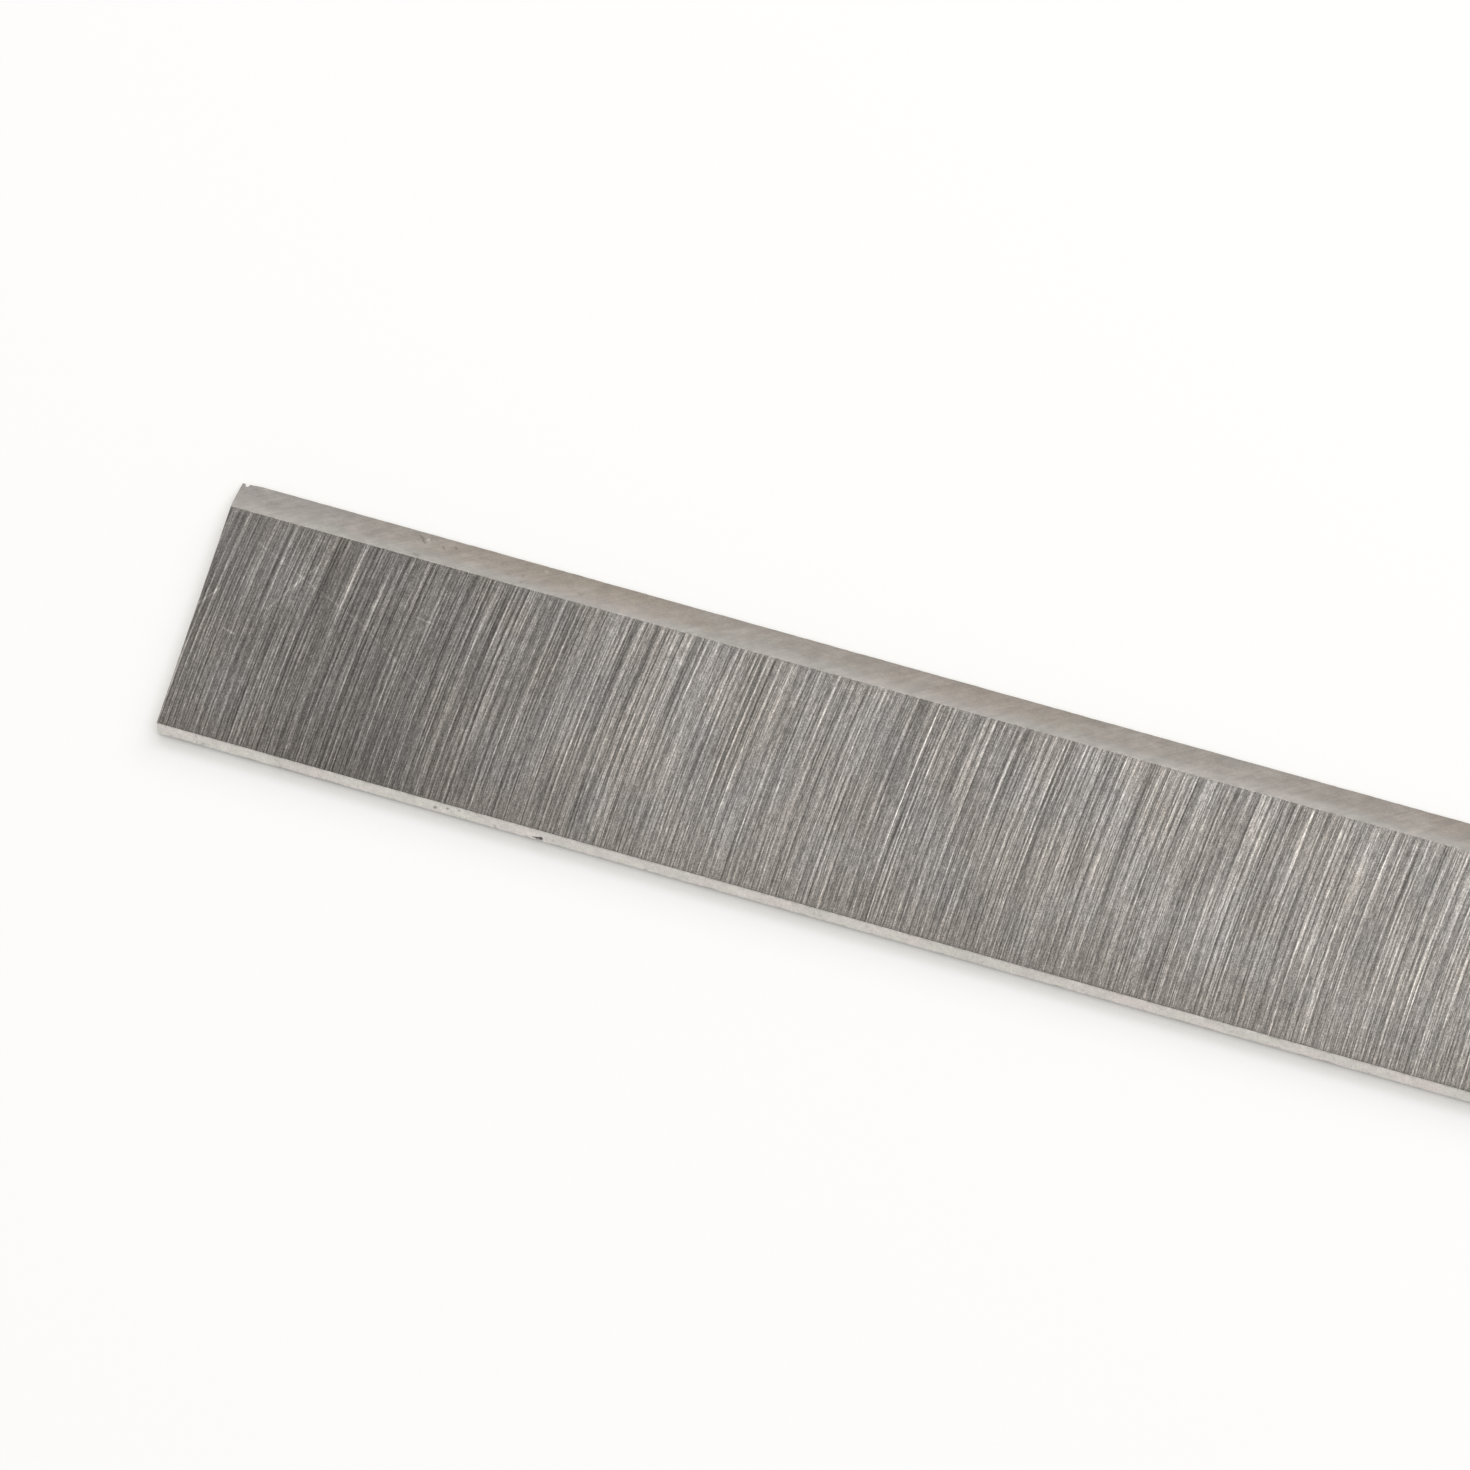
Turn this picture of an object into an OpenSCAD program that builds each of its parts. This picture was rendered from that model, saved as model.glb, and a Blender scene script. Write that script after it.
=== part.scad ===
// Planer knife: a flat bar of high-speed steel with a bevel ground along one long edge.
// It lies on its back face. +X runs along the knife, +Y points at the cutting edge and
// +Z out of the front face. The origin is at the middle of the back face.

/* [Blade] */
// Length of the knife along its cutting edge
blade_l = 210; // [60:1:640]
// Width from the heel to the cutting edge
blade_w = 30; // [16:0.5:60]
// Thickness between the front and the back face
blade_t = 3; // [2:0.1:6]

/* [Cutting edge] */
// Angle between the bevel and the back face, in degrees
bevel_angle = 35; // [28:0.5:60]
// Height of the tiny land that a used edge keeps below the bevel
edge_land = 0.05; // [0.02:0.01:0.3]

/* [Edges] */
// Break along the heel and around both ends, where the burr was taken off
edge_break = 0.15; // [0.05:0.05:0.5]

/* [Wear] */
// How far the left corner of the cutting edge is worn back
worn_d = 0.25; // [0.05:0.05:0.6]
// Length of the edge over which that wear fades out
worn_l = 2.2; // [1.5:0.1:6]
// Distance from the left end to the middle of the chip in the cutting edge
chip_x = 0.56; // [0.45:0.01:3]
// Width of the chip at the line of the unworn edge
chip_w = 0.62; // [0.4:0.02:0.9]
// Width of the chip's floor
chip_floor = 0.28; // [0.1:0.02:0.38]
// Depth of the chip from the line of the unworn edge
chip_d = 0.62; // [0.3:0.02:1.2]
// Radius of the right corner of the cutting edge
tip_r = 0.3; // [0.1:0.1:3]
// Distance of the heel's nick from the left end, at its blunt end
nick_x = 42.4; // [5:0.1:55]
// Height of the nick's middle above the back face
nick_z = 0.75; // [0.7:0.05:1.3]
// Length of the nick from its point to its blunt end
nick_l = 1; // [0.4:0.1:3]
// Width of the nick at its blunt end
nick_w = 0.9; // [0.2:0.05:1]
// Depth of the nick at its blunt end
nick_d = 0.2; // [0.05:0.01:0.3]

/* [Hidden] */
// Flat pieces in the arc of a rounded corner
$fn = 48;
// How far a cutting shape runs past the surface that it cuts
past = 1;
// Width of the bevel seen from above
bevel_w = (blade_t - edge_land) / tan(bevel_angle);
left = -blade_l / 2;
right = blade_l / 2;
heel = -blade_w / 2;
edge = blade_w / 2;

// Cross-section in Y and Z: square heel with broken edges, full-depth bevel at the front
module section() {
    polygon([
        [heel + edge_break, 0],
        [edge, 0],
        [edge, edge_land],
        [edge - bevel_w, blade_t],
        [heel + edge_break, blade_t],
        [heel, blade_t - edge_break],
        [heel, edge_break]
    ]);
}

// Side view in X and Z: both ends square, with their long edges broken
module side_view() {
    polygon([
        [left + edge_break, 0],
        [right - edge_break, 0],
        [right, edge_break],
        [right, blade_t - edge_break],
        [right - edge_break, blade_t],
        [left + edge_break, blade_t],
        [left, blade_t - edge_break],
        [left, edge_break]
    ]);
}

// The waste outside a corner of radius r whose sides run along -X and -Y from the origin
module corner_waste(r) {
    difference() {
        translate([-r, -r]) square(r + past);
        translate([-r, -r]) circle(r);
    }
}

// The waste of the chip, which narrows from the cutting edge to a flat floor
module chip_waste() {
    polygon([
        [-chip_w / 2, past],
        [-chip_w / 2, 0],
        [-chip_floor / 2, -chip_d],
        [chip_floor / 2, -chip_d],
        [chip_w / 2, 0],
        [chip_w / 2, past]
    ]);
}

// Outline from above: heel corners broken, right corner of the edge rounded, and the left
// one worn back and chipped
module plan_view() {
    difference() {
        polygon([
            [left + edge_break, heel],
            [right - edge_break, heel],
            [right, heel + edge_break],
            [right, edge],
            [left + worn_l, edge],
            [left, edge - worn_d],
            [left, heel + edge_break]
        ]);
        translate([right, edge]) corner_waste(tip_r);
        translate([left + chip_x, edge]) chip_waste();
    }
}

// Wedge-shaped nick that a knock has left in the heel face. It widens and deepens from its
// point to its blunt right end.
module heel_nick() {
    translate([left + nick_x - nick_l, heel, nick_z])
        rotate([0, 0, atan(nick_d / nick_l)])
            rotate([90, 0, 0])
                linear_extrude(past)
                    polygon([[0, 0], [nick_l, -nick_w / 2], [nick_l, nick_w / 2]]);
}

// The whole knife: the three views meet in one solid, and the nick is cut from it
module planer_knife() {
    color([0.52, 0.51, 0.49])
        difference() {
            intersection() {
                translate([left - past, 0, 0])
                    rotate([90, 0, 90])
                        linear_extrude(blade_l + 2 * past) section();
                translate([0, edge + past, 0])
                    rotate([90, 0, 0])
                        linear_extrude(blade_w + 2 * past) side_view();
                translate([0, 0, -past])
                    linear_extrude(blade_t + 2 * past) plan_view();
            }
            heel_nick();
        }
}

planer_knife();
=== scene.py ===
import math

import bpy
import numpy as np
from mathutils import Matrix, Vector


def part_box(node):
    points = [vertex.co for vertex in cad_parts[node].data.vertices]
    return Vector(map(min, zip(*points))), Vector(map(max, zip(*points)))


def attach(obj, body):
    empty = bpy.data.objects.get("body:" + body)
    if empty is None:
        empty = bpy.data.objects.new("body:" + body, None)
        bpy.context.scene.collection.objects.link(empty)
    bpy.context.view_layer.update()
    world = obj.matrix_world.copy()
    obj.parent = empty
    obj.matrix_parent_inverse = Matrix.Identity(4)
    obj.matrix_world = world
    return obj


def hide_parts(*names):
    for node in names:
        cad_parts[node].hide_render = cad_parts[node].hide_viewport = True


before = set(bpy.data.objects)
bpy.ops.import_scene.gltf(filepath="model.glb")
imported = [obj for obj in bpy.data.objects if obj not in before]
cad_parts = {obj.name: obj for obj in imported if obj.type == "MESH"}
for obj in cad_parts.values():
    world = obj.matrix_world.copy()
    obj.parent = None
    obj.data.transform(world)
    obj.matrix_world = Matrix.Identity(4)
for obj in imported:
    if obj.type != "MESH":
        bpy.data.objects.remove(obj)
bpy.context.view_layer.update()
MM = 0.001


# Camera
# The view of the photograph: a long lens well over a metre away, high above the heel side
# and a little to the right, aimed at the left third of the knife.

LENS = 293.9
CAMERA_AZIMUTH, CAMERA_ELEVATION = math.radians(16.75), math.radians(68.4)
CAMERA_DISTANCE = 1263.4 * MM
CAMERA_TARGET = Vector((-46.72, 2.36, 0)) * MM

camera = bpy.data.objects.new("camera", bpy.data.cameras.new("camera"))
bpy.context.scene.collection.objects.link(camera)
bpy.context.scene.camera = camera
camera.data.lens = LENS
camera.data.sensor_width = 36
camera.data.clip_start, camera.data.clip_end = 0.01, 100
towards_camera = Vector((
    math.sin(CAMERA_AZIMUTH) * math.cos(CAMERA_ELEVATION),
    -math.cos(CAMERA_AZIMUTH) * math.cos(CAMERA_ELEVATION),
    math.sin(CAMERA_ELEVATION)))
camera_right = Vector((math.cos(CAMERA_AZIMUTH), math.sin(CAMERA_AZIMUTH), 0))
camera.matrix_world = Matrix.Translation(CAMERA_TARGET + towards_camera * CAMERA_DISTANCE) @ Matrix(
    (camera_right, towards_camera.cross(camera_right), towards_camera)).transposed().to_4x4()


# Floor and light
# A wide sheet of white paper under the knife, lit evenly from all round, with one large soft
# lamp above the cutting-edge side that lays a faint shadow along the heel.

FLOOR_DROP = 0.3 * MM
FLOOR_SIDE = 12.0
PAPER = (0.985, 0.965, 0.925, 1)
PAPER_GLOW, CONTACT_GLOW = 0.62, 0.03
CONTACT_REACH = 2 * MM
SKY_LEVEL = 0.72
LAMP_SIDE = 0.7
LAMP_WATTS = 4.4
LAMP_PLACE = Vector((0.28, 0.62, 0.72))


class Wire:
    """An output socket of a node. A Python sum on it adds its Math node, and node() adds
    any other node to a tree."""

    def __init__(self, socket):
        self.socket = socket

    @staticmethod
    def node(tree, kind, settings={}, sockets={}):
        """Adds a node of this kind, sets its settings, then gives its input sockets their
        values or wires, and returns the wire of its first output that is in use."""
        made = tree.nodes.new(kind)
        for name, value in settings.items():
            if name == "stops":
                while len(made.color_ramp.elements) < len(value):
                    made.color_ramp.elements.new(1)
                for stop, (place, colour) in zip(made.color_ramp.elements, value):
                    stop.position, stop.color = place, colour
            else:
                setattr(made, name, value)
        for name, value in sockets.items():
            socket = made.inputs[name] if isinstance(name, int) else next(
                s for s in made.inputs if s.enabled and s.name == name)
            if isinstance(value, Wire):
                tree.links.new(value.socket, socket)
            else:
                socket.default_value = value
        out = next((s for s in made.outputs if s.enabled), None)
        return Wire(out) if out else made

    def other(self, name):
        """The wire of another output of the same node."""
        return Wire(self.socket.node.outputs[name])

    def math(self, operation, *values):
        return Wire.node(self.socket.id_data, "ShaderNodeMath", {"operation": operation},
                         dict(enumerate(values)))

    def __add__(self, other):
        return self.math("ADD", self, other)

    def __radd__(self, other):
        return self.math("ADD", other, self)

    def __sub__(self, other):
        return self.math("SUBTRACT", self, other)

    def __rsub__(self, other):
        return self.math("SUBTRACT", other, self)

    def __mul__(self, other):
        return self.math("MULTIPLY", self, other)

    def __rmul__(self, other):
        return self.math("MULTIPLY", other, self)

    def __truediv__(self, other):
        return self.math("DIVIDE", self, other)

    def __pow__(self, other):
        return self.math("POWER", self, other)

    def __rpow__(self, other):
        return self.math("POWER", other, self)

    def __gt__(self, other):
        return self.math("GREATER_THAN", self, other)

    def __lt__(self, other):
        return self.math("LESS_THAN", self, other)


def new_tree(owner):
    """Turns an owner's nodes on, empties its tree and returns it."""
    owner.use_nodes = True
    owner.node_tree.nodes.clear()
    return owner.node_tree


def camera_rays(tree):
    """1 for rays straight from the camera and 0 for all others."""
    return Wire.node(tree, "ShaderNodeLightPath")


def mirrored_rays(tree):
    """1 for rays that metal or glass mirrors or passes on to the background, and 0 for all
    others."""
    path = Wire.node(tree, "ShaderNodeLightPath")
    return path.math("MAXIMUM", path.other("Is Glossy Ray"), path.other("Is Transmission Ray"))


def soft_step(value, start, end):
    """0 up to start and 1 from end on, with a smooth rise between."""
    return Wire.node(value.socket.id_data, "ShaderNodeMapRange", {"interpolation_type": "SMOOTHSTEP"}, {
        "Value": value, "From Min": start, "From Max": end})


paper = bpy.data.materials.new("white paper")
tree = new_tree(paper)
matt = Wire.node(tree, "ShaderNodeBsdfDiffuse", {}, {"Color": PAPER})
glow = Wire.node(tree, "ShaderNodeEmission", {}, {"Color": (1, 1, 1, 1)})
# Close to the knife the paper's glow seen by the camera fades with the ambient occlusion, which paints
# a darker contact shadow.
open_sky = Wire.node(tree, "ShaderNodeAmbientOcclusion", {"samples": 4}, {
    "Distance": CONTACT_REACH}).other("AO")
shown_glow = CONTACT_GLOW + (PAPER_GLOW - CONTACT_GLOW) * soft_step(open_sky, 0.6, 0.95)
front = Wire.node(tree, "ShaderNodeMixShader", {}, {
    0: camera_rays(tree) * shown_glow + mirrored_rays(tree) * PAPER_GLOW, 1: matt, 2: glow})
from_below = Wire.node(tree, "ShaderNodeNewGeometry").other("Backfacing")
sheet = Wire.node(tree, "ShaderNodeMixShader", {}, {
    0: from_below, 1: front, 2: Wire.node(tree, "ShaderNodeBsdfTransparent")})
Wire.node(tree, "ShaderNodeOutputMaterial", {}, {"Surface": sheet})

half = FLOOR_SIDE / 2
floor_mesh = bpy.data.meshes.new("floor")
floor_mesh.from_pydata([(-half, -half, -FLOOR_DROP), (half, -half, -FLOOR_DROP),
                        (half, half, -FLOOR_DROP), (-half, half, -FLOOR_DROP)],
                       [], [(0, 1, 2, 3)])
floor = bpy.data.objects.new("floor", floor_mesh)
bpy.context.scene.collection.objects.link(floor)
floor_mesh.materials.append(paper)

world = bpy.data.worlds.new("studio")
bpy.context.scene.world = world
tree = new_tree(world)
direct = camera_rays(tree) + mirrored_rays(tree)
Wire.node(tree, "ShaderNodeOutputWorld", {}, {"Surface": Wire.node(tree, "ShaderNodeBackground", {}, {
    "Color": (1, 1, 1, 1), "Strength": direct + (1 - direct) * SKY_LEVEL})})

softbox = bpy.data.objects.new("softbox", bpy.data.lights.new("softbox", "AREA"))
bpy.context.scene.collection.objects.link(softbox)
softbox.data.shape = "SQUARE"
softbox.data.size = LAMP_SIDE
softbox.data.energy = LAMP_WATTS
softbox.location = LAMP_PLACE
softbox.rotation_mode = "QUATERNION"
softbox.rotation_quaternion = (LAMP_PLACE - CAMERA_TARGET).to_track_quat("Z", "Y")
bpy.context.scene.view_settings.view_transform = "Standard"


# Knife bar
# One flat bar of hardened high-speed steel, 210 x 30 x 3 mm. Its faces, heel and ends are
# ground square, and the cutting edge is a full-depth bevel ground along the far side.
# The left corner of the edge is worn and chipped, and a knock has left a nick in the heel.

low, high = (np.array(c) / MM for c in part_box("planer_knife"))
LEFT, HEEL, BACK = low
RIGHT, EDGE, FRONT = high
BEVEL_SLOPE = math.tan(math.radians(35))
EDGE_LAND = 0.05
RIDGE = EDGE - (FRONT - EDGE_LAND) / BEVEL_SLOPE
EDGE_BREAK = 0.15
WEAR_DEPTH, WEAR_LENGTH = 0.25, 2.2
CHIP_X, CHIP_WIDTH, CHIP_FLOOR, CHIP_DEPTH = LEFT + 0.56, 0.62, 0.28, 0.62
TIP_RADIUS = 0.3
NICK_POINT, NICK_Z = LEFT + 41.4, 0.75
NICK_LENGTH, NICK_WIDTH, NICK_DEPTH = 1.0, 0.9, 0.2
NICK_WALL = 0.1


def stations(*runs):
    """Rising places joined from runs of (from, to, step), each divided evenly."""
    parts = [np.linspace(a, b, max(1, round((b - a) / step)) + 1) for a, b, step in runs]
    return np.unique(np.round(np.concatenate(parts), 5))


def ripple(x, seed, *waves):
    """A repeatable uneven line: the sum over (wavelength, height) of three sines each, with
    lengths near that wavelength and random phases."""
    draw = np.random.default_rng(seed)
    total = np.zeros_like(x)
    for length, height in waves:
        for _ in range(3):
            total += height / 1.7 * np.sin(
                2 * math.pi * x / (length * draw.uniform(0.7, 1.4)) + draw.uniform(0, 6.28))
    return total


def box_skin(nx, ny, nz):
    """The outer skin of a block of nx by ny by nz lattice points: the points' indices in
    each direction, and its quads turned outwards, each with the side that it is on.
    Sides are 0 and 1 for low and high X, 2 and 3 for Y, 4 and 5 for Z."""
    size = (nx, ny, nz)
    codes, sides = [], []
    for axis in range(3):
        u, v = (axis + 1) % 3, (axis + 2) % 3
        for end in (0, 1):
            index = np.zeros((size[u], size[v], 3), int)
            index[..., u] = np.arange(size[u])[:, None]
            index[..., v] = np.arange(size[v])[None, :]
            index[..., axis] = end * (size[axis] - 1)
            code = (index[..., 0] * ny + index[..., 1]) * nz + index[..., 2]
            quad = np.stack([code[:-1, :-1], code[1:, :-1], code[1:, 1:], code[:-1, 1:]], -1)
            quad = quad.reshape(-1, 4)
            codes.append(quad if end else quad[:, ::-1])
            sides.append(np.full(len(quad), 2 * axis + end))
    quads, sides = np.concatenate(codes), np.concatenate(sides)
    used, flat = np.unique(quads, return_inverse=True)
    points = np.stack([used // (ny * nz), used // nz % ny, used % nz], 1)
    return points, flat.reshape(-1, 4), sides


def edge_set_back(x):
    """How far the cutting edge lies back from the full width: shallow ripples all along it,
    a wear that fades out from the left corner, and the chip, whose two walls slope in to a
    flat floor."""
    ripples = np.clip(0.035 + ripple(x, 3, (7.0, 0.012), (1.9, 0.010), (0.8, 0.008)), 0, 0.09)
    wear = WEAR_DEPTH * np.clip(1 - (x - LEFT) / WEAR_LENGTH, 0, 1)
    wall = (CHIP_WIDTH - CHIP_FLOOR) / 2
    chip = CHIP_DEPTH * np.clip((CHIP_WIDTH / 2 - np.abs(x - CHIP_X)) / wall, 0, 1)
    return np.maximum(ripples + wear, chip)


def knife_points(points, xs, ys, zs):
    """Places the lattice points of the bar's skin, in millimetres. A point's X and Y come
    from the stations, and its Z is its share of the height there, which is full up to the
    ridge and then falls along the bevel to the land at the edge. Then the right corner of
    the edge is rounded, the edge is set back where it is worn and chipped, all the other
    long edges are eased, and the nick is pressed into the heel."""
    x, y, share = xs[points[:, 0]], ys[points[:, 1]], zs[points[:, 2]] / FRONT
    dx, dy = x - (RIGHT - TIP_RADIUS), y - (EDGE - TIP_RADIUS)
    inside = (dx > 0) & (dy > 0)
    pull = np.where(inside, np.maximum(dx, dy) / np.maximum(np.hypot(dx, dy), 1e-9), 1)
    x = np.where(inside, RIGHT - TIP_RADIUS + dx * pull, x)
    y = np.where(inside, EDGE - TIP_RADIUS + dy * pull, y)
    along = (y - RIDGE) / (EDGE - RIDGE)
    y = y - np.clip(along, 0, 1) ** 4 * edge_set_back(x)
    top = np.minimum(FRONT, EDGE_LAND + (EDGE - y) * BEVEL_SLOPE)
    z = share * top
    core = np.stack([np.clip(x, LEFT + EDGE_BREAK, RIGHT - EDGE_BREAK),
                     np.maximum(y, HEEL + EDGE_BREAK),
                     np.clip(z, BACK + EDGE_BREAK, FRONT - EDGE_BREAK)], 1)
    core[:, 2] = np.where(along > 0, z, core[:, 2])
    place = np.stack([x, y, z], 1)
    out = place - core
    size = np.linalg.norm(out, axis=1, keepdims=True)
    place = core + out * np.minimum(1, EDGE_BREAK / np.maximum(size, 1e-9))
    run = (x - NICK_POINT) / NICK_LENGTH
    to_side = NICK_WIDTH / 2 * run - np.abs(z - NICK_Z)
    to_blunt_end = (1 - run) * NICK_LENGTH + NICK_WALL / 2
    press = NICK_DEPTH * np.clip(run, 0, 1) * np.clip(
        np.minimum(to_side, to_blunt_end) / NICK_WALL, 0, 1)
    place[:, 1] += np.where(points[:, 1] == 0, press, 0)
    return place


ease = EDGE_BREAK * np.array([0, 0.18, 0.42, 0.7, 1])
xs = np.unique(np.round(np.concatenate([
    LEFT + ease, stations(
        (LEFT + EDGE_BREAK, LEFT + 1.0, 0.04), (LEFT + 1.0, LEFT + 2.2, 0.15),
        (LEFT + 2.2, NICK_POINT - 0.1, 0.42), (NICK_POINT - 0.1, NICK_POINT + 1.1, 0.05),
        (NICK_POINT + 1.1, RIGHT - 0.75, 0.42), (RIGHT - 0.75, RIGHT - EDGE_BREAK, 0.1)),
    RIGHT - ease]), 5))
ys = np.unique(np.round(np.concatenate([
    HEEL + ease, stations((HEEL + EDGE_BREAK, HEEL + 1.35, 0.3), (HEEL + 1.35, RIDGE - 0.6, 2.2),
                          (RIDGE - 0.6, RIDGE, 0.2), (RIDGE, EDGE - 1.5, 0.45),
                          (EDGE - 1.5, EDGE - 0.2, 0.16), (EDGE - 0.2, EDGE, 0.05))]), 5))
zs = np.unique(np.round(np.concatenate([
    ease, stations((EDGE_BREAK, NICK_Z + 0.5, 0.08), (NICK_Z + 0.5, FRONT - EDGE_BREAK, 0.4)),
    FRONT - ease]), 5))
points, quads, sides = box_skin(len(xs), len(ys), len(zs))
places = knife_points(points, xs, ys, zs)

knife_mesh = bpy.data.meshes.new("planer_knife_ground")
knife_mesh.vertices.add(len(places))
knife_mesh.vertices.foreach_set("co", (places * MM).ravel())
knife_mesh.loops.add(quads.size)
knife_mesh.loops.foreach_set("vertex_index", quads.ravel())
knife_mesh.polygons.add(len(quads))
knife_mesh.polygons.foreach_set("loop_start", np.arange(0, quads.size, 4))
knife_mesh.update(calc_edges=True)
knife_mesh.validate()
knife_mesh.polygons.foreach_set("use_smooth", np.ones(len(quads), bool))
knife_mesh.set_sharp_from_angle(angle=math.radians(24))
print("knife mesh:", len(places), "points,", len(quads), "quads")
knife = bpy.data.objects.new("planer_knife_ground", knife_mesh)
bpy.context.scene.collection.objects.link(knife)


# Cross-ground faces
# The front and back are ground across the width by a large wheel, so the marks are long
# shallow arcs, light and dark, some running the whole way from the heel to the bevel.

FACE_STEEL = (0.2205, 0.2095, 0.198)
FACE_STAIN = (0.225, 0.2075, 0.188)
ARC_LEAN, ARC_BEND = 0.0017, 0.00205
# Brightness along the face from the left end: up to about 56 mm a painted reflection, darkest near 18
# mm and lighter to the right, and further on tone that differs at random.
REFLECTION_AND_TONE_ALONG = [(place / 210, (tone, tone, tone, 1)) for place, tone in (
    (0, 0.77), (10, 0.73), (18, 0.59), (25, 0.63), (33, 0.82), (56, 1.02), (90, 0.9),
    (125, 1.0), (160, 0.88), (210, 0.96))]
SCRATCHES = (
    (0.22, 0.9, ((7.3, 15.7), (8.8, 18.4), (10.7, 21.5))),
    (0.2, 1.0, ((0.1, 14.2), (1.7, 16.5))),
    (0.18, 0.55, ((11.1, 19.6), (14.8, 18.0), (17.3, 16.9), (21.3, 14.4), (25.7, 11.9))),
    (0.18, 0.5, ((4.0, 22.7), (11.1, 19.6))),
    (0.25, 1.1, ((3.6, 12.3), (4.7, 12.0))),
    (0.18, 1.0, ((22.6, 19.3), (24.6, 19.1))),
    (0.6, 0.35, ((0.3, 25.8), (1.7, 25.8))))


def noise(tree, vector, detail=0.0, roughness=0.5):
    """Smooth noise around 0, from about -1 to 1, whose bumps are about one unit across."""
    raw = Wire.node(tree, "ShaderNodeTexNoise", {"noise_dimensions": "3D"}, {
        "Vector": vector, "Scale": 1.0, "Detail": detail, "Roughness": roughness})
    return (raw - 0.5) * 4


def vector(tree, x, y, z):
    return Wire.node(tree, "ShaderNodeCombineXYZ", {}, {0: x, 1: y, 2: z})


def tinted(tree, colour, strength):
    """A colour times a number that varies over the surface."""
    return Wire.node(tree, "ShaderNodeVectorMath", {"operation": "SCALE"}, {
        0: colour, "Scale": strength})


def mixed(tree, factor, first, second):
    """The first colour where the factor is 0 and the second where it is 1."""
    first, second = (c if isinstance(c, Wire) else (*c, 1) for c in (first, second))
    return Wire.node(tree, "ShaderNodeMix", {"data_type": "RGBA"}, {
        "Factor": factor, "A": first, "B": second})


def stroke(x, y, width, *path):
    """1 along the straight pieces of a path, in millimetres, fading to 0 at this distance."""
    nearest = None
    for (ax, ay), (bx, by) in zip(path, path[1:]):
        run_x, run_y = bx - ax, by - ay
        share = ((x - ax) * run_x + (y - ay) * run_y) / (run_x ** 2 + run_y ** 2)
        share = x.math("MINIMUM", x.math("MAXIMUM", share, 0.0), 1.0)
        gap = ((x - ax - share * run_x) ** 2 + (y - ay - share * run_y) ** 2) ** 0.5
        nearest = gap if nearest is None else x.math("MINIMUM", nearest, gap)
    return soft_step(nearest, width, 0.0)


def steel(name, colour, roughness, height, relief):
    """Finishes a steel material: bare metal with this colour, roughness and relief, the
    relief being the depth in millimetres that a height of 1 stands for."""
    tree = height.socket.id_data
    bump = Wire.node(tree, "ShaderNodeBump", {}, {
        "Height": height, "Distance": relief * MM, "Strength": 1.0})
    metal = Wire.node(tree, "ShaderNodeBsdfPrincipled", {}, {
        "Base Color": colour, "Metallic": 1.0, "Roughness": roughness, "Normal": bump})
    Wire.node(tree, "ShaderNodeOutputMaterial", {}, {"Surface": metal})


def surface_place(tree):
    """The place on the knife in millimetres, as three wires."""
    at = Wire.node(tree, "ShaderNodeTexCoord").other("Object")
    at = Wire.node(tree, "ShaderNodeVectorMath", {"operation": "SCALE"}, {0: at, "Scale": 1 / MM})
    split = Wire.node(tree, "ShaderNodeSeparateXYZ", {}, {0: at})
    return split, split.other("Y"), split.other("Z")


face_finish = bpy.data.materials.new("cross-ground steel")
tree = new_tree(face_finish)
x, y, z = surface_place(tree)
width = y - HEEL
across = x - (width * ARC_LEAN + width * width * ARC_BEND)
front = z > FRONT / 2
layer = front * 40


def marks(across, spacing, run, seed):
    """Grinding marks: noise whose cells are as wide as the spacing and as long as the run."""
    return noise(tree, vector(tree, across / spacing, width / run, layer + seed))


def peaks(value, start):
    """What rises above start, and 0 below it: it leaves single lines of a noise."""
    return value.math("MAXIMUM", value - start, 0.0)


second_pass = x - (width * 0.024 + width * width * 0.001)
hair = (marks(across, 0.15, 8, 1) * 0.65 + marks(across, 0.15, 50, 11) * 0.68
        + marks(across, 0.14, 1.1, 21) * 0.5)
fine = (marks(across, 0.27, 18, 2) * 0.35 + marks(across, 0.3, 80, 12) * 1.05
        + marks(second_pass, 0.25, 7, 22) * 0.2)
thin = marks(across, 0.6, 90, 3) * 0.45 + marks(across, 0.62, 150, 13) * 0.85
broad = marks(across, 1.25, 120, 14)
light_lines = peaks(marks(across, 0.22, 45, 7), 0.55) + peaks(marks(across, 0.31, 100, 8), 0.6)
dark_lines = (peaks(marks(across, 0.24, 11, 9), 0.5) * 0.6
              + peaks(marks(across, 0.3, 90, 19), 0.6) * 1.2)
grain = (noise(tree, vector(tree, x / 0.13, y / 0.16, layer + 10)) * 0.7
         + noise(tree, vector(tree, x / 0.25, y / 0.3, layer + 15)) * 0.45
         + noise(tree, vector(tree, x / 0.6, y / 0.7, layer + 25)) * 0.12)
scratched = sum(stroke(x - LEFT, width, breadth, *path) * strength
                for breadth, strength, path in SCRATCHES) * front
rim = soft_step(x - LEFT + grain * 0.1, 0.4, 0.1) * soft_step(width, 18.0, 12.0)
along = Wire.node(tree, "ShaderNodeValToRGB", {"stops": REFLECTION_AND_TONE_ALONG}, {
    0: (x - LEFT) / (RIGHT - LEFT)})
patches = noise(tree, vector(tree, x / 6, y / 9, layer + 30), 2.0)
colour = mixed(tree, soft_step(patches + soft_step(width, 6.0, 0.0), -1.0, 1.0),
               FACE_STEEL, FACE_STAIN)
calm = soft_step(x - LEFT, 9.0, 2.0) * soft_step(width, 14.0, 24.0)
border = soft_step(width, 25.1, 25.8) + soft_step(width, 0.7, 0.0)
streaks = (hair * 0.93 + fine * 0.63 + thin * 0.26 + broad * 0.08 + light_lines * 0.36
           - dark_lines * 0.8) * (1 - calm * 0.35) * (1 - border * 0.35) + grain * 0.6
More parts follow.
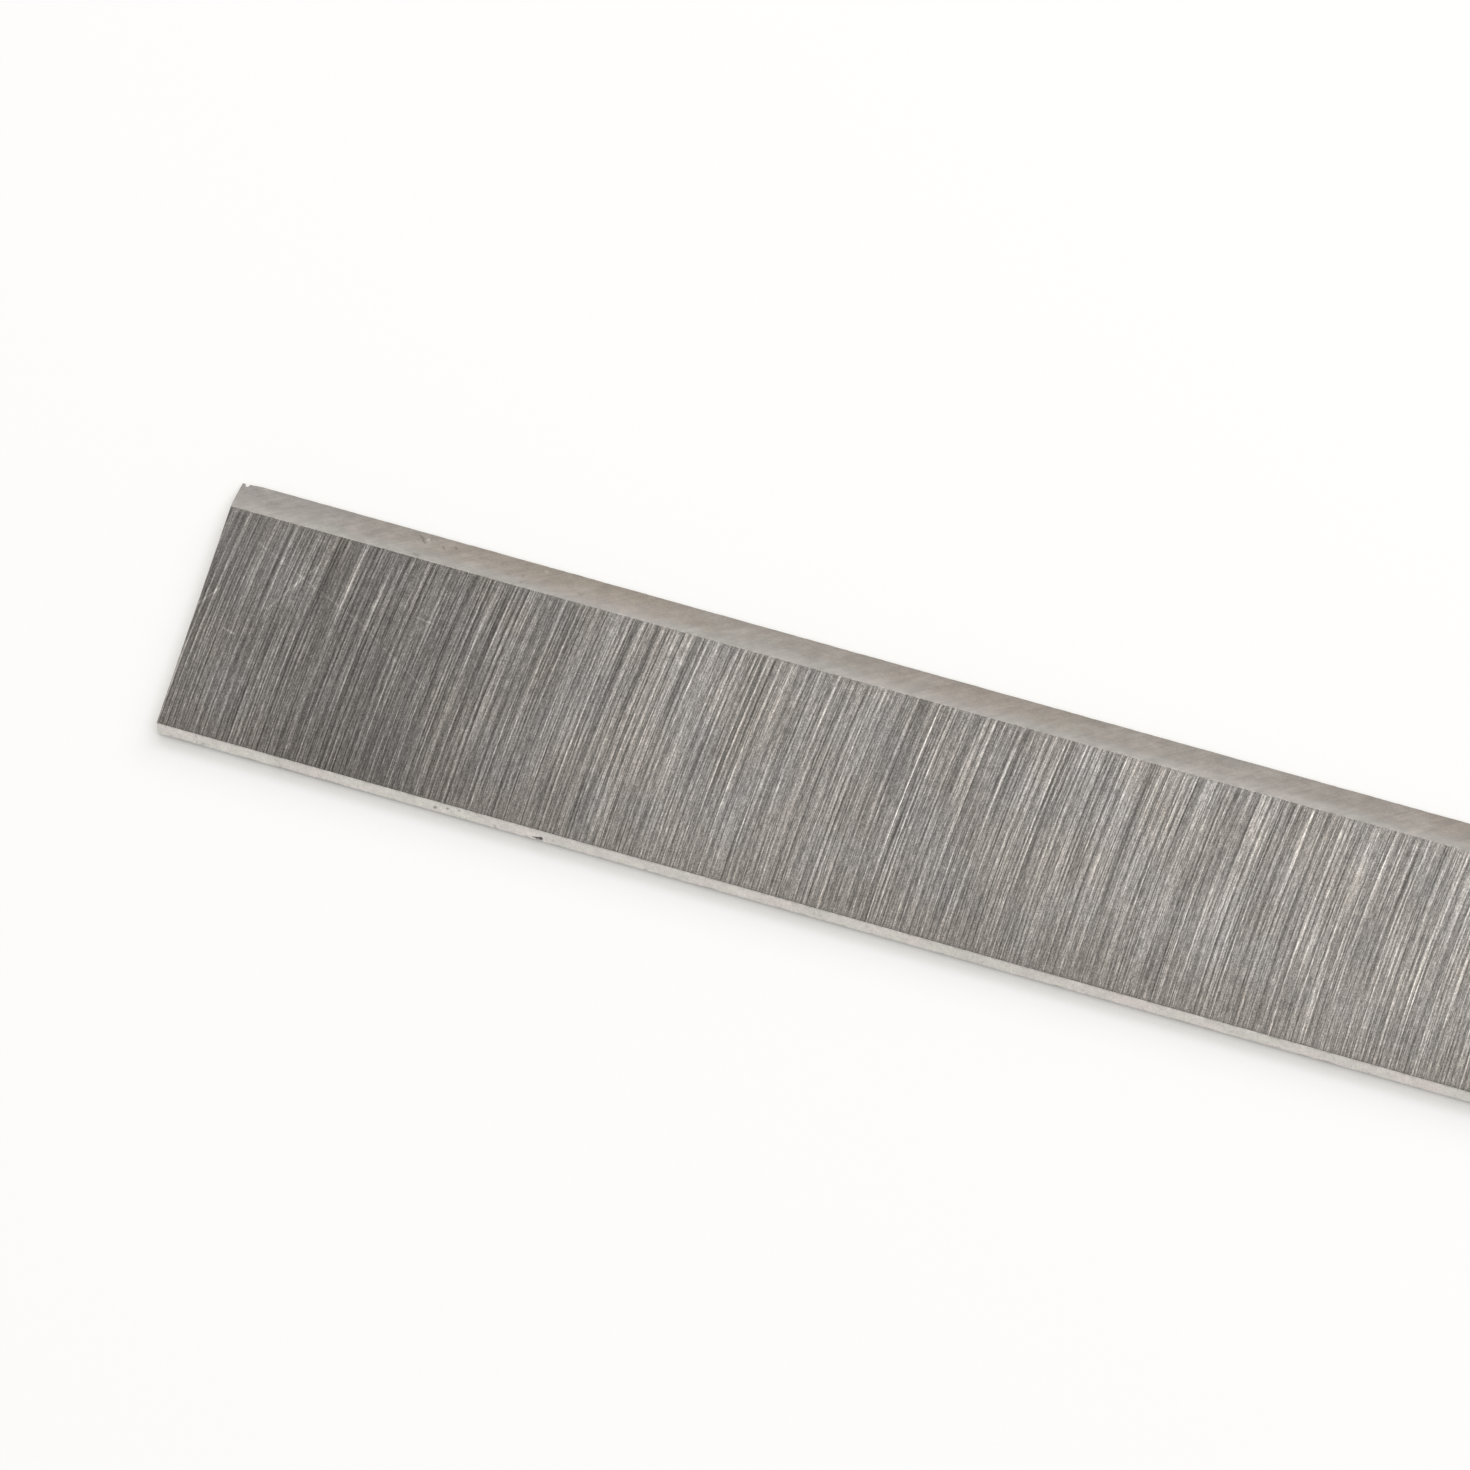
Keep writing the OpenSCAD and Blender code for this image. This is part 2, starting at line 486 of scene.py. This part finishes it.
# Painted reflection: the width terms below darken the face towards the heel and lighten it a little
# towards the ridge, and the brightness along the length is multiplied in.
shade = (streaks * 0.81 + scratched * 0.75 + rim * 0.5 - soft_step(width, 9.0, 0.0) * 0.19
         + soft_step(width, 14.0, 25.0) * 0.04)
steel("cross-ground steel", tinted(tree, colour, 2 ** shade * along),
      0.36 + streaks * -0.03, hair * 0.3 + fine * 0.5 + thin * 0.6 + light_lines, 0.006)


# Bevel
# The bevel is ground and honed smoother than the faces: pale, with faint slanting marks and stains,
# darker and warmer towards the cutting edge, with a few small chips.
# A broad slanting sheen and a brighter band just below the ridge are painted highlights.

BEVEL_STEEL = (0.375, 0.347, 0.324)
BEVEL_COOL = (0.364, 0.350, 0.325)
BEVEL_STAIN = (0.376, 0.329, 0.283)
STAIN_ALONG = [(place / 210, (share, share, share, 1)) for place, share in (
    (0, 0.0), (6, 0.0), (17, 0.45), (32, 1.0), (46, 1.0), (60, 0.4), (84, 0.85), (112, 0.3),
    (143, 0.9), (178, 0.35), (210, 0.7))]
CHIPS = (
    (0.22, 0.6, ((19.9, 3.5), (20.4, 3.1))), (0.2, 0.6, ((20.4, 2.9), (20.7, 2.6))),
    (0.2, 0.5, ((22.7, 2.8), (22.8, 2.5))), (0.22, 0.55, ((23.9, 3.2), (24.1, 3.0))),
    (0.3, -0.55, ((20.9, 3.3), (20.9, 3.15))), (0.25, -0.4, ((2.4, 3.95), (2.8, 3.95))),
    (0.22, 0.4, ((20.1, 0.55), (20.6, 0.45))), (0.35, 0.2, ((30.2, 1.4), (30.5, 1.4))),
    (0.28, 0.3, ((31.8, 1.8), (31.85, 1.6))), (0.28, 0.3, ((31.9, 0.85), (31.95, 0.7))),
    (0.33, 0.28, ((38.2, 1.45), (38.4, 1.35))), (0.3, -0.4, ((33.9, 3.4), (33.95, 3.3))),
    (0.25, 0.3, ((45.4, 3.7), (45.8, 3.4))), (0.25, -0.2, ((45.2, 3.8), (45.6, 3.8))),
    (0.35, 0.25, ((51.8, 0.2), (51.9, 0.1))),
    (0.5, -0.12, ((33.0, 0.2), (38.5, 2.4))), (0.4, -0.1, ((35.5, 0.3), (39.8, 1.9))),
    (0.5, 0.1, ((32.5, 0.9), (37.0, 2.8))), (0.5, -0.12, ((50.7, 0.6), (55.0, 2.3))),
    (0.4, 0.12, ((52.5, 0.8), (54.8, 3.2))), (0.5, -0.1, ((43.0, 0.8), (45.7, 3.1))),
    (0.5, -0.08, ((9.5, 0.5), (13.8, 1.9))), (0.5, -0.08, ((14.6, 0.7), (19.0, 2.1))))

bevel_finish = bpy.data.materials.new("honed bevel")
tree = new_tree(bevel_finish)
x, y, z = surface_place(tree)
down = (y - RIDGE) / (EDGE - RIDGE)
slant = noise(tree, vector(tree, (x - y * 1.2) / 0.45, (x + y) / 5, 7.0), 1.0)
blotch = noise(tree, vector(tree, x / 1.1, y / 0.7, 13.0), 1.0)
speckle = noise(tree, vector(tree, x / 0.3, y / 0.25, 17.0))
cloud = noise(tree, vector(tree, x / 7, y / 2.5, 3.0), 1.0)
sheen = (noise(tree, vector(tree, (x - y * 1.2) / 1.2, (x + y) / 5, 29.0), 1.0) * 0.6
         + noise(tree, vector(tree, (x - y * 1.5) / 3.1, (x + y) / 4, 37.0), 1.0) * 0.7)
tips = noise(tree, vector(tree, x / 0.3, 0.5, 23.0)) * soft_step(down, 0.06, 0.0)
along = Wire.node(tree, "ShaderNodeValToRGB", {"stops": STAIN_ALONG}, {
    0: (x + cloud * 4 - LEFT) / (RIGHT - LEFT)})
stain = along * soft_step(down + blotch * 0.1, 0.05, 0.6) * (1 - soft_step(cloud, 0.1, 0.9) * 0.3)
cool = soft_step(noise(tree, vector(tree, x / 8, y / 5, 41.0), 1.0) - down * 0.5, -0.35, 0.45)
chips = sum(stroke(x - LEFT, y - RIDGE, breadth, *path) * strength
            for breadth, strength, path in CHIPS)
# The rise just below the ridge and the sheen term are painted highlights; the sheen runs with the
# slanting honing marks.
shade = (0.23 - soft_step(down, 0.0, 0.45) * 0.16 - down * 0.26 - stain * down * 0.09
         + slant * 0.09 + sheen * 0.15 + blotch * 0.1 + speckle * (0.03 + down * 0.07)
         + cloud * 0.05 + tips * 0.3 - chips)
colour = mixed(tree, cool, BEVEL_STEEL, BEVEL_COOL)
colour = mixed(tree, stain, colour, BEVEL_STAIN)
steel("honed bevel", tinted(tree, colour, 2 ** shade), 0.33 + cloud * 0.02,
      slant + blotch * 0.5, 0.002)


# Heel and ends
# The heel and the two ends are sawn and ground with a coarse wheel and left matt. A ragged dark band
# along the heel's lower edge, where it meets the floor, is painted shade; handling has left a few small
# knocks beside the nick, whose hollow is painted darker.

HEEL_STEEL = (0.735, 0.685, 0.655)
HEEL_GREY = (0.705, 0.69, 0.64)
# Strokes on the heel as (width, darkness, path), paths in millimetres from the left end along x and z.
# The first three are painted shade in the nick's hollow and the fourth, lighter, is a painted highlight
# on its lit side; the two long strokes at the very bottom paint darker stretches of the lower edge's
# shade; the rest are knocks.
KNOCKS_AND_SHADE = (
    (0.32, 2.2, ((42.23, 0.5), (42.23, 1.1))), (0.45, 1.9, ((41.85, 0.72), (42.15, 0.74))),
    (0.28, 1.2, ((41.45, 0.72), (41.9, 0.74))), (0.45, -0.12, ((40.9, 1.5), (41.3, 1.4))),
    (0.25, 0.7, ((41.85, 0.45), (41.8, 0.0))), (0.25, 0.6, ((53.75, 0.5), (53.65, 0.1))),
    (0.3, 1.2, ((30.7, 1.5), (30.6, 1.0))), (0.25, 1.0, ((32.05, 2.05), (32.0, 1.7))),
    (0.22, 0.7, ((33.35, 2.4), (33.25, 2.1))), (0.3, 0.4, ((37.2, 0.9), (37.2, 0.1))),
    (0.35, 0.5, ((40.6, 0.25), (41.0, 0.0))), (0.35, 0.35, ((2.2, 0.15), (3.7, 0.1))),
    (0.35, 0.3, ((5.1, 0.9), (4.9, 0.4))), (0.35, 0.35, ((8.9, 0.15), (11.1, 0.1))),
    (0.35, 0.35, ((13.6, 0.5), (13.5, 0.0))), (0.35, 0.3, ((26.0, 0.3), (26.2, 0.0))))

heel_finish = bpy.data.materials.new("matt ground steel")
tree = new_tree(heel_finish)
x, y, z = surface_place(tree)
speckle = noise(tree, vector(tree, x / 0.22, y / 0.22, z / 0.6))
mottle = noise(tree, vector(tree, x / 0.7, y / 0.7, z / 1.3), 1.0)
cloud = noise(tree, vector(tree, x / 3, y / 8, z / 3), 1.0)
ragged = noise(tree, vector(tree, x / 1.3, y / 1.3, 5.0), 2.0)
# Painted shade along the lower edge where the heel meets the floor: ragged, and patchy in strength.
painted_foot_shade = soft_step(z - ragged * 0.28, 0.45, -0.1) * (
    0.05 + soft_step(noise(tree, vector(tree, x / 1.6, y / 1.6, 31.0), 1.0), -0.1, 0.6) * 0.6)
brim = soft_step(z, 2.5, 2.95) * (0.28 - mottle * 0.16 - cloud * 0.12)
knocks_and_shade = sum(stroke(x - LEFT, z, breadth, *path) * strength
             for breadth, strength, path in KNOCKS_AND_SHADE) * (y < HEEL + 1)
pits = peaks(noise(tree, vector(tree, x / 0.45, y / 0.45, z / 0.8 + 9)), 0.75)
# Besides the painted shade of the lower edge, the shade is painted a little darker towards the top,
# from 1 mm up.
shade = (speckle * 0.09 + mottle * 0.1 + cloud * 0.07 - pits * 0.4 - painted_foot_shade
         - soft_step(z, 1.0, 3.0) * 0.08 - brim - knocks_and_shade)
grey = soft_step(noise(tree, vector(tree, x / 4, y / 4, z / 4 + 50), 1.0), -0.5, 0.5)
colour = mixed(tree, grey, HEEL_STEEL, HEEL_GREY)
steel("matt ground steel", tinted(tree, colour, 2 ** shade), 0.48 + mottle * 0.04,
      mottle + speckle * 0.5, 0.006)

for finish in (face_finish, bevel_finish, heel_finish):
    knife_mesh.materials.append(finish)
middle = places[quads].mean(1)
finish_index = np.where(sides >= 4, 0, 2)
finish_index = np.where((sides == 5) & (middle[:, 1] > RIDGE), 1, finish_index)
knife_mesh.polygons.foreach_set("material_index", finish_index.astype(np.int32))
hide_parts("planer_knife")
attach(knife, "root")
